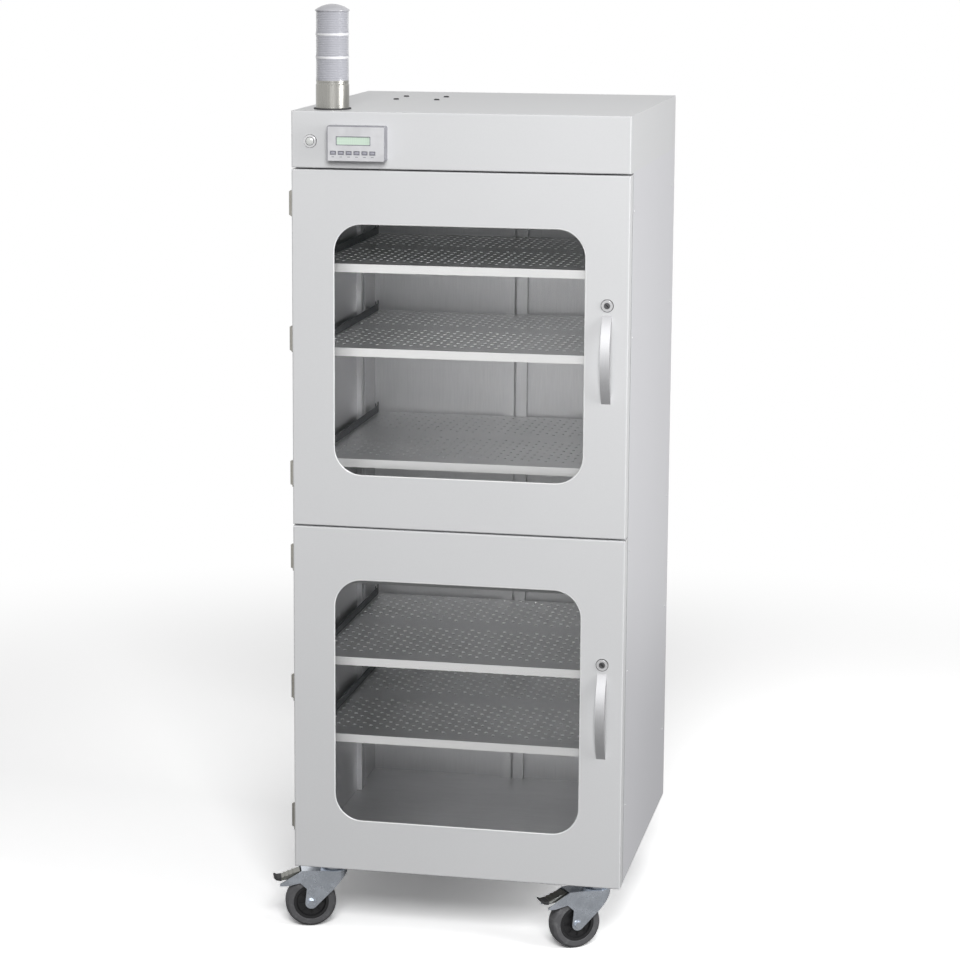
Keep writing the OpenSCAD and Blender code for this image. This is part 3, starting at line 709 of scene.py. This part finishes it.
def rounded_outline(x0: float, x1: float, z0: float, z1: float, radius: float, y: float,
                    steps: int) -> list[Vector]:
    """Gives a rounded rectangle standing in the plane of the doors.

    Args:
        x0: left edge.
        x1: right edge.
        z0: lower edge.
        z1: upper edge.
        radius: corner radius.
        y: depth of the plane.
        steps: points on each corner.

    Returns:
        Its corner points in order.
    """
    points = []
    corners = ((x1 - radius, z1 - radius, 0), (x0 + radius, z1 - radius, 90),
               (x0 + radius, z0 + radius, 180), (x1 - radius, z0 + radius, 270))
    for cx, cz, start in corners:
        for i in range(steps + 1):
            angle = math.radians(start + 90 * i / steps)
            points.append(Vector((cx + radius * math.cos(angle), y, cz + radius * math.sin(angle))))
    return points


def grown_outline(window: tuple[float, float, float, float], inset: float, radius: float, y: float,
                  steps: int) -> list[Vector]:
    """Gives a rounded rectangle from millimetres on the cabinet's front.

    Args:
        window: left, right, lower and upper edge.
        inset: how far every edge moves in.
        radius: corner radius.
        y: depth of the plane.
        steps: points on each corner.

    Returns:
        Its corner points in order.
    """
    x0, x1, z0, z1 = window
    a, b = at(x0 + inset, y, z0 + inset), at(x1 - inset, y, z1 - inset)
    return rounded_outline(a.x, b.x, a.z, b.z, radius * MM, a.y, steps)


# ---------------------------------------------------------------- sub-assemblies


@dataclass
class Body:
    """The double-skinned body, its front frame, control housing and rear."""

    width: float = 640
    rear: float = 636
    side_screw_heights: tuple[float, ...] = (152, 416, 650, 1055, 1291)
    side_screw_depths: tuple[float, ...] = (54, 598)
    rear_screw_columns: tuple[float, ...] = (10, 630)
    rear_screw_heights: tuple[float, ...] = (40, 300, 560, 820, 1080, 1330)
    inlet_screw_columns: tuple[float, ...] = (525, 565)
    inlet_height: float = 1410
    inlet_flange: float = 2
    roof_hole_columns: tuple[float, ...] = (118, 200)
    roof_hole_rows: tuple[float, ...] = (372, 466)

    def build(self) -> None:
        """Dresses the walls and adds the screws of the outer skins and the roof's grommets."""
        dress(Coat.WALL, "side_panel_left", "side_panel_right")
        dress(Coat.REAR_WALL, "back_panel", "back_channel")
        dress(Coat.HOUSING, "control_housing")
        dress(Coat.FRAME, "front_frame")
        dress(Coat.CHAMBER, "chamber_ceiling")
        dress(Coat.CHAMBER_FLOOR, "chamber_floor")
        dress(Coat.DRYER, "drying_unit")
        dress(Coat.BLACK_PLASTIC, "power_inlet")
        self._side_screws()
        self._rear_screws()
        self._roof_grommets()

    def _side_screws(self) -> None:
        """Adds the dome screws of both outer side skins."""
        screws = Piece("side_screws", Coat.HOUSING, "cabinet", "housing_paint")
        for x, way in ((0, -1), (self.width, 1)):
            for y in self.side_screw_depths:
                for z in self.side_screw_heights:
                    screws.ring_stack(DOME_SCREW, facing((way, 0, 0), at(x, y, z)), 20)
        screws.finish()

    def _rear_screws(self) -> None:
        """Adds the screws of the rear panel and of the power inlet."""
        screws = Piece("rear_screws", Coat.BOLT, "cabinet", "zinc")
        places = [(x, self.rear, z) for x in self.rear_screw_columns for z in self.rear_screw_heights]
        places += [(x, self.rear + self.inlet_flange, self.inlet_height) for x in self.inlet_screw_columns]
        for place in places:
            screws.ring_stack(FLAT_SCREW, facing((0, 1, 0), at(*place)), 20)
        screws.finish()


    def _roof_grommets(self) -> None:
        """Adds the open black grommets in the four holes of the roof."""
        grommets = Piece("roof_grommets", Coat.RUBBER, "cabinet", "black_plastic")
        for x in self.roof_hole_columns:
            for y in self.roof_hole_rows:
                grommets.ring_stack(GROMMET, Matrix.Translation(at(x, y, ROOF / MM)), 32, closed=True)
        grommets.finish()


@dataclass
class Chamber:
    """Shelves, brackets, uprights and the probe inside the chamber."""

    def build(self) -> None:
        """Dresses the chamber's fittings."""
        dress(Coat.SHELF, "lower_shelves", "middle_shelves", "top_shelf")
        dress(Coat.CHAMBER_UPRIGHT, "corner_uprights")
        dress(Coat.BRACKET, "shelf_brackets")
        dress(Coat.SENSOR, "humidity_sensor")


@dataclass
class Door:
    """One glazed door with its handle, lock, gasket and window lip."""

    level: str
    bottom: float
    window: tuple[float, float, float, float] = (80, 560, 99, 580)
    corner: float = 55
    lip_width: float = 2.2
    hinge_rises: tuple[float, ...] = (94, 354, 612)
    leaf_screw_step: float = 14
    leaf_face: float = -2.5
    door_leaf: float = 16
    frame_leaf: float = 51

    def build(self) -> None:
        """Dresses the door's nodes and adds its window lip with its painted highlight, the black ring of painted
        shade at the lock's collar, and its screws.
        """
        door = f"{self.level}_door"
        dress(Coat.DOOR, f"{door}_panel")
        dress(Coat.GLASS, f"{door}_glass")
        dress(Coat.RUBBER, f"{door}_gasket")
        dress(Coat.HANDLE, f"{door}_handle")
        dress(Coat.HINGE, f"{door}_hinge_leaves")
        dress(Coat.LOCK_RING, f"{self.level}_lock_barrel")
        dress(Coat.LOCK_PLUG, f"{self.level}_lock_plug")
        self._window_lip(door)
        self._lock_shade_ring(door)
        self._hinge_screws(door)

    def _window_lip(self, door: str) -> None:
        """Adds the thin lip between the cut-out's edge and the glass, in a paint lighter than the door's: painted
        highlight of the window's rounded edge.

        Args:
            door: the door's body.
        """
        lip = Piece(f"{door}_window_lip", Coat.WINDOW_LIP, door, "door_paint")
        x0, x1, z0, z1 = self.window
        window = (x0, x1, self.bottom + z0, self.bottom + z1)
        section = ((-0.2, 1.4), (-0.2, 0.2), (0.3, -0.2), (self.lip_width - 0.6, 0.2),
                   (self.lip_width, 0.8), (self.lip_width, 1.4))
        lip.loop_stack([grown_outline(window, inset, self.corner - inset, y, 14) for inset, y in section],
                       closed=True)
        lip.finish()

    def _lock_shade_ring(self, door: str) -> None:
        """Adds a black ring under the lock's collar: painted shade at the collar's edge.

        Args:
            door: the door's body.
        """
        middle = middle_of(f"{self.level}_lock_barrel")
        shade_ring = Piece(f"{self.level}_lock_washer", Coat.RUBBER, door, "lock_chrome")
        shade_ring.ring_stack(LOCK_SHADE_RING, facing((0, -1, 0), middle), 48, closed=True)
        shade_ring.finish()

    def _hinge_screws(self, door: str) -> None:
        """Adds the countersunk screws of the door's hinge leaves.

        Args:
            door: the door's body.
        """
        for body, kind, y in ((door, "leaf", self.door_leaf), ("cabinet", "frame", self.frame_leaf)):
            screws = Piece(f"{door}_{kind}_screws", Coat.HINGE, body, "hinge_steel")
            for rise in self.hinge_rises:
                for step in (-self.leaf_screw_step, self.leaf_screw_step):
                    spot = at(self.leaf_face, y, self.bottom + rise + step)
                    screws.ring_stack(FLAT_SCREW, facing((-1, 0, 0), spot), 20)
            screws.finish()


@dataclass
class ControlPanel:
    """The controller with its display and keys, and the power button beside it."""

    keys: int = 6
    first_key: float = 86.5
    key_pitch: float = 15
    key_height: float = 1395
    key_hole: tuple[float, float] = (5.7, 3.7)
    key_field: tuple[float, float] = (3.9, 1.9)
    key_bar: tuple[float, float, float] = (2.6, -7.9, -6.8)
    plate: tuple[float, float, float, float] = (76.4, 183.8, 1380.2, 1443.4)
    plate_back: float = -25.0
    plate_skin: float = 0.6
    display: tuple[float, float, float, float] = (93, 157, 1410, 1425)

    def build(self) -> None:
        """Dresses the panel and adds its plate, marks and tops of the keys, and the dark display frame and button
        rings that paint the shade at the display's recess and the button's gaps.
        """
        dress(Coat.CASE, "controller_case")
        dress(Coat.LCD, "display")
        dress(Coat.BUTTON_RING, "power_button_bezel")
        dress(Coat.BUTTON_CAP, "power_button")
        for number in range(1, self.keys + 1):
            dress(Coat.KEY, f"key_{number}")
            self._key_top(number)
            self._key_mark(number)
        self._front_plate()
        self._display_shade_frame()
        self._button_shade_rings()

    def _key_middle(self, number: int) -> float:
        """Gives the place of a key across the cabinet, counted from 1 at the left."""
        return self.first_key + (number - 1) * self.key_pitch

    def _front_plate(self) -> None:
        """Adds the light front plate, open at the display and the keys, on the darker case."""
        plate = Piece("controller_plate", Coat.PANEL_FILM, "cabinet", "controller_face")
        half, rise = self.key_hole
        middles = [self._key_middle(number) for number in range(1, self.keys + 1)]
        low, high = self.key_height - rise, self.key_height + rise
        holes = [(x - half, x + half, low, high) for x in middles] + [self.display]
        xs = sorted({*self.plate[:2], *(edge for hole in holes for edge in hole[:2])})
        zs = sorted({*self.plate[2:], *(edge for hole in holes for edge in hole[2:])})
        nodes = [[plate.mesh.verts.new(at(x, self.plate_back, z)) for z in zs] for x in xs]
        for i, (x0, x1) in enumerate(zip(xs, xs[1:])):
            for j, (z0, z1) in enumerate(zip(zs, zs[1:])):
                x, z = (x0 + x1) / 2, (z0 + z1) / 2
                if not any(a < x < b and c < z < d for a, b, c, d in holes):
                    plate.mesh.faces.new((nodes[i][j], nodes[i + 1][j], nodes[i + 1][j + 1], nodes[i][j + 1]))
        bmesh.ops.dissolve_limit(plate.mesh, angle_limit=0.01, verts=plate.mesh.verts, edges=plate.mesh.edges)
        lifted = bmesh.ops.extrude_face_region(plate.mesh, geom=plate.mesh.faces[:])["geom"]
        bmesh.ops.translate(plate.mesh, vec=(0, -self.plate_skin * MM, 0),
                            verts=[item for item in lifted if isinstance(item, bmesh.types.BMVert)])
        plate.settle()
        plate.finish(bevel=0.00015, smooth=False)

    def _key_mark(self, number: int) -> None:
        """Adds the small raised bar that marks a key's place on the plate.

        Args:
            number: the key's number, from 1 at the left.
        """
        mark = Piece(f"key_{number}_mark", Coat.KEY, "cabinet", "key_grey")
        x = self._key_middle(number)
        half, low, high = self.key_bar
        bar = (x - half, x + half, self.key_height + low, self.key_height + high)
        mark.loop_stack([grown_outline(bar, inset, 0.5 - inset, y, 4)
                         for inset, y in ((0, -25.5), (0, -25.75), (0.15, -25.8))])
        mark.finish()

    def _button_shade_rings(self) -> None:
        """Adds black rings round the power button's cap and under its ring, drawn as seals: painted shade of those
        gaps.
        """
        gap_rings = Piece("button_seal", Coat.RUBBER, "cabinet", "button_ring")
        ring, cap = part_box("power_button_bezel"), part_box("power_button")
        reach, inner = (ring[1][0] - ring[0][0]) / 2, (cap[1][0] - cap[0][0]) / 2
        front = FRONT - ring[0][1]
        where = facing((0, -1, 0), middle_of("power_button_bezel"))
        # Both rings are black as painted shade in the gaps round the ring and the cap.
        gap_rings.ring_stack([(reach - 0.0004, 0.0), (reach + 0.0006, 0.0), (reach + 0.0006, 0.0005),
                         (reach - 0.0004, 0.0005)], where, 48, closed=True)
        gap_rings.ring_stack([(inner + 0.0003, front - 0.0012), (inner + 0.0011, front - 0.0012),
                         (inner + 0.0011, front + 0.0001), (inner + 0.0003, front + 0.0001)],
                        where, 48, closed=True)
        gap_rings.finish()

    def _key_top(self, number: int) -> None:
        """Adds the raised lighter field of one key.

        Args:
            number: the key's number, from 1 at the left.
        """
        top = Piece(f"key_{number}_top", Coat.KEY_TOP, f"key_{number}", "key_grey")
        x = self._key_middle(number)
        half, rise = self.key_field
        pad = (x - half, x + half, self.key_height - rise, self.key_height + rise)
        top.loop_stack([grown_outline(pad, inset, 1.4 - inset, y, 5)
                        for inset, y in ((0, -26.1), (0, -26.4), (0.5, -26.6))])
        top.finish()

    def _display_shade_frame(self) -> None:
        """Adds the narrow dark frame round the display's window: painted shade of the recess's edge, drawn all
        round.
        """
        shade_rim = Piece("display_rim", Coat.KEY, "cabinet", "key_grey")
        section = ((-0.9, -25.4), (-0.9, -25.85), (0.3, -25.85), (0.3, -24.2), (-0.9, -24.2))
        shade_rim.loop_stack([grown_outline(self.display, inset, 1.2, y, 4) for inset, y in section], closed=True)
        shade_rim.finish()


@dataclass
class SignalTower:
    """The signal tower on the roof, with clear lenses over a white lamp column."""

    centre: tuple[float, float] = (64, 64)
    base_height: float = 54
    lens_height: float = 43
    lens_radius: float = 31
    rim_reach: float = 0.5
    rim_half: float = 2.4
    rim_edge: float = 0.4

    def build(self) -> None:
        """Dresses the tower and adds the bright rims between its lenses and the disc under its foot."""
        dress(Coat.TOWER_METAL, "tower_base")
        dress(Coat.TOWER_LENS, "tower_lenses")
        dress(Coat.TOWER_CORE, "tower_core")
        dress(Coat.TOWER_CAP, "tower_cap")
        rims = Piece("tower_rims", Coat.TOWER_RING, "cabinet", "tower_white")
        for number in (1, 2):
            foot = at(*self.centre, ROOF / MM + self.base_height + number * self.lens_height)
            inner, outer = self.lens_radius - self.rim_reach, self.lens_radius + self.rim_reach
            high, edge = self.rim_half, self.rim_half - self.rim_edge
            section = ((inner, -high), (outer, -edge), (outer, edge), (inner, high))
            rims.ring_stack([(radius * MM, height * MM) for radius, height in section],
                            Matrix.Translation(foot), 96, closed=True)
        rims.finish()
        disc = Piece("tower_foot_disc", Coat.RUBBER, "cabinet", "black_plastic")
        foot = at(*self.centre, ROOF / MM)
        disc.ring_stack(FOOT_DISC, Matrix.Translation(foot), 96, closed=True)
        disc.finish()


@dataclass
class Castor:
    """One swivel castor: its fork, wheel and, in front, its brake pedal."""

    place: str
    x: float
    y: float
    turn: float
    braked: bool
    plate_holes: tuple[float, float] = (80, 60)
    toe_half: float = 14.5

    def build(self) -> None:
        """Dresses the castor and adds its plate's bolts and its pedal's toe."""
        dress(Coat.ZINC, f"{self.place}_fork")
        dress(Coat.HUB, f"{self.place}_hub")
        dress(Coat.TREAD, f"{self.place}_tyre")
        if self.braked:
            dress(Coat.PEDAL, f"{self.place}_pedal")
            self._pedal_toe()
        self._plate_bolts()

    def _along(self, u: Number, v: Number, z: Number) -> Vector:
        """Gives a point from its distance behind the king pin, aside of it and above the floor.

        Args:
            u: trailing distance in millimetres.
            v: distance aside in millimetres.
            z: height above the floor in millimetres.

        Returns:
            The point in the row frame.
        """
        angle = math.radians(180 + self.turn)
        spot = at(self.x + u * math.cos(angle) - v * math.sin(angle),
                  self.y + u * math.sin(angle) + v * math.cos(angle), 0)
        return Vector((spot.x, spot.y, z * MM))

    def _pedal_toe(self) -> None:
        """Adds the black rubber sleeve on the pedal's toe."""
        toe = Piece(f"{self.place}_pedal_toe", Coat.RUBBER, f"{self.place}_brake", "black_plastic")
        loops = []
        ends = ((self.toe_half, -0.4), (self.toe_half - 0.3, 0.3), (self.toe_half - 1.3, 0.5))
        for v, grow in (*((-v, grow) for v, grow in ends), *reversed(ends)):
            outline = [(104 - grow, 101.4 + grow), (112, 100.3 + grow), (117, 103.3 + grow), (118.3 + grow, 101.2),
                       (113.8, 96.2 - grow), (104 - grow, 94.6 - grow)]
            loops.append([self._along(u, v, z) for u, z in outline])
        toe.loop_stack(loops)
        toe.finish(bevel=0.0004)

    def _plate_bolts(self) -> None:
        """Adds the four hexagon bolts under the plate."""
        bolts = Piece(f"{self.place}_plate_bolts", Coat.BOLT, "cabinet", "zinc")
        across, along = self.plate_holes
        for sx in (-across / 2, across / 2):
            for sy in (-along / 2, along / 2):
                spot = Matrix.Translation(at(self.x + sx, self.y + sy, 0))
                bolts.ring_stack(HEXAGON_HEAD, spot, 6)
                bolts.ring_stack(PLATE_WASHER, spot, 24)
        bolts.finish(smooth=False)


@dataclass
class Studio:
    """Floor, lights and camera."""

    eye: Point = (1.09353, -5.59618, 1.97185)
    right: Point = (0.976175, 0.21698, 0.001608)
    down: Point = (0.039709, -0.171351, -0.984409)
    focal: float = 2917.4
    centre: tuple[float, float] = (400, 435)
    frame_size: float = 960
    sensor: float = 36
    lamps: tuple[tuple[str, Point, Point, float, float], ...] = (
        ("key", (0.85, -4.4, 3.3), (0, 0, 1.1), 1.8, 158),
        ("side", (3.2, -1.0, 1.9), (0.1, 0, 1.1), 1.6, 56),
        ("top", (0.2, 0.2, 4.4), (0, 0, 1.0), 2.4, 8))
    surrounding: float = 0.24
    floor_half: float = 30
    fade: tuple[float, float] = (1.6, 3.2)

    def build(self) -> None:
        """Makes the whole studio."""
        self._camera()
        self._floor()
        self._world()
        for lamp in self.lamps:
            self._lamp(*lamp)

    def _camera(self) -> None:
        """Places the camera so that its lens, place and shift give the view."""
        data = bpy.data.cameras.new("camera")
        camera = bpy.data.objects.new("camera", data)
        bpy.context.scene.collection.objects.link(camera)
        data.sensor_width = self.sensor
        data.lens = self.focal * self.sensor / self.frame_size
        data.shift_x = 0.5 - self.centre[0] / self.frame_size
        data.shift_y = self.centre[1] / self.frame_size - 0.5
        data.clip_start, data.clip_end = 0.1, 100
        right, up = Vector(self.right), -Vector(self.down)
        turn = Matrix((right, up, right.cross(up))).transposed()
        camera.matrix_world = Matrix.Translation(self.eye) @ turn.to_4x4()
        bpy.context.scene.camera = camera

    def _floor(self) -> None:
        """Makes the white floor, which fades into the white background but keeps the shadow."""
        mesh = bmesh.new()
        bmesh.ops.create_grid(mesh, x_segments=8, y_segments=8, size=self.floor_half)
        data = bpy.data.meshes.new("floor")
        mesh.to_mesh(data)
        mesh.free()
        floor = bpy.data.objects.new("floor", data)
        bpy.context.scene.collection.objects.link(floor)
        recipe = Recipe(bpy.data.materials.new("floor_white"))
        spot = recipe.node("ShaderNodeTexCoord", result="Object")
        reach = recipe.node("ShaderNodeVectorMath", {"operation": "LENGTH"}, {"Vector": spot}, result="Value")
        direct = recipe.ray("Camera")
        mirrored = recipe.ray("Glossy").larger(recipe.ray("Transmission"))
        matt, soft, pale = (recipe.node("ShaderNodeBsdfDiffuse", {}, {"Color": (level, level, level, 1)})
                            for level in (0.24, 0.50, 0.96))
        twice = recipe.node("ShaderNodeAddShader", {}, {0: pale, 1: pale})
        shown = recipe.node("ShaderNodeMixShader", {}, {0: mirrored, 1: matt, 2: soft})
        lit = recipe.node("ShaderNodeMixShader", {}, {0: direct, 1: shown, 2: twice})
        white = recipe.node("ShaderNodeEmission", {}, {"Color": (1, 1, 1, 1), "Strength": 1.0})
        far = reach.step(*self.fade) * direct.larger(mirrored)
        recipe.show(recipe.node("ShaderNodeMixShader", {}, {0: far, 1: lit, 2: white}))
        data.materials.append(recipe.owner)

    def _world(self) -> None:
        """Makes the soft surrounding light and the white background."""
        world = bpy.data.worlds.new("studio")
        bpy.context.scene.world = world
        recipe = Recipe(world, "ShaderNodeOutputWorld")
        seen = recipe.ray("Camera").larger(recipe.ray("Transmission")).larger(recipe.ray("Glossy"))
        level = recipe.node("ShaderNodeMapRange", {}, {"Value": seen, "To Min": self.surrounding, "To Max": 1.0})
        recipe.show(recipe.node("ShaderNodeBackground", {}, {"Color": (1, 1, 1, 1), "Strength": level}))

    def _lamp(self, name: str, place: Point, aim: Point, size: float, power: float) -> None:
        """Hangs one soft box.

        Args:
            name: the lamp's name.
            place: where it hangs.
            aim: the point that it faces.
            size: length of its sides.
            power: its power in watts.
        """
        data = bpy.data.lights.new(name, "AREA")
        data.shape, data.size, data.energy = "SQUARE", size, power
        lamp = bpy.data.objects.new(name, data)
        bpy.context.scene.collection.objects.link(lamp)
        lamp.matrix_world = facing(tuple(Vector(place) - Vector(aim)), Vector(place))


def main() -> None:
    """Builds the studio and every sub-assembly."""
    logging.basicConfig(level=logging.INFO, format="%(name)s: %(message)s")
    bpy.context.scene.view_settings.view_transform = "Standard"
    Studio().build()
    Body().build()
    Chamber().build()
    Door("upper", (DOOR_HEIGHT + DOOR_SEAM) / MM).build()
    Door("lower", 0.0).build()
    dress(Coat.HINGE, "frame_hinge_leaves")
    ControlPanel().build()
    SignalTower().build()
    dress(Coat.ZINC, "castor_plates")
    for castor in (Castor("front_left", 58, 80, 18, True), Castor("front_right", 582, 80, 32, True),
                   Castor("rear_left", 58, 556, 25, False), Castor("rear_right", 582, 556, 25, False)):
        castor.build()


if __name__ == "__main__":
    main()
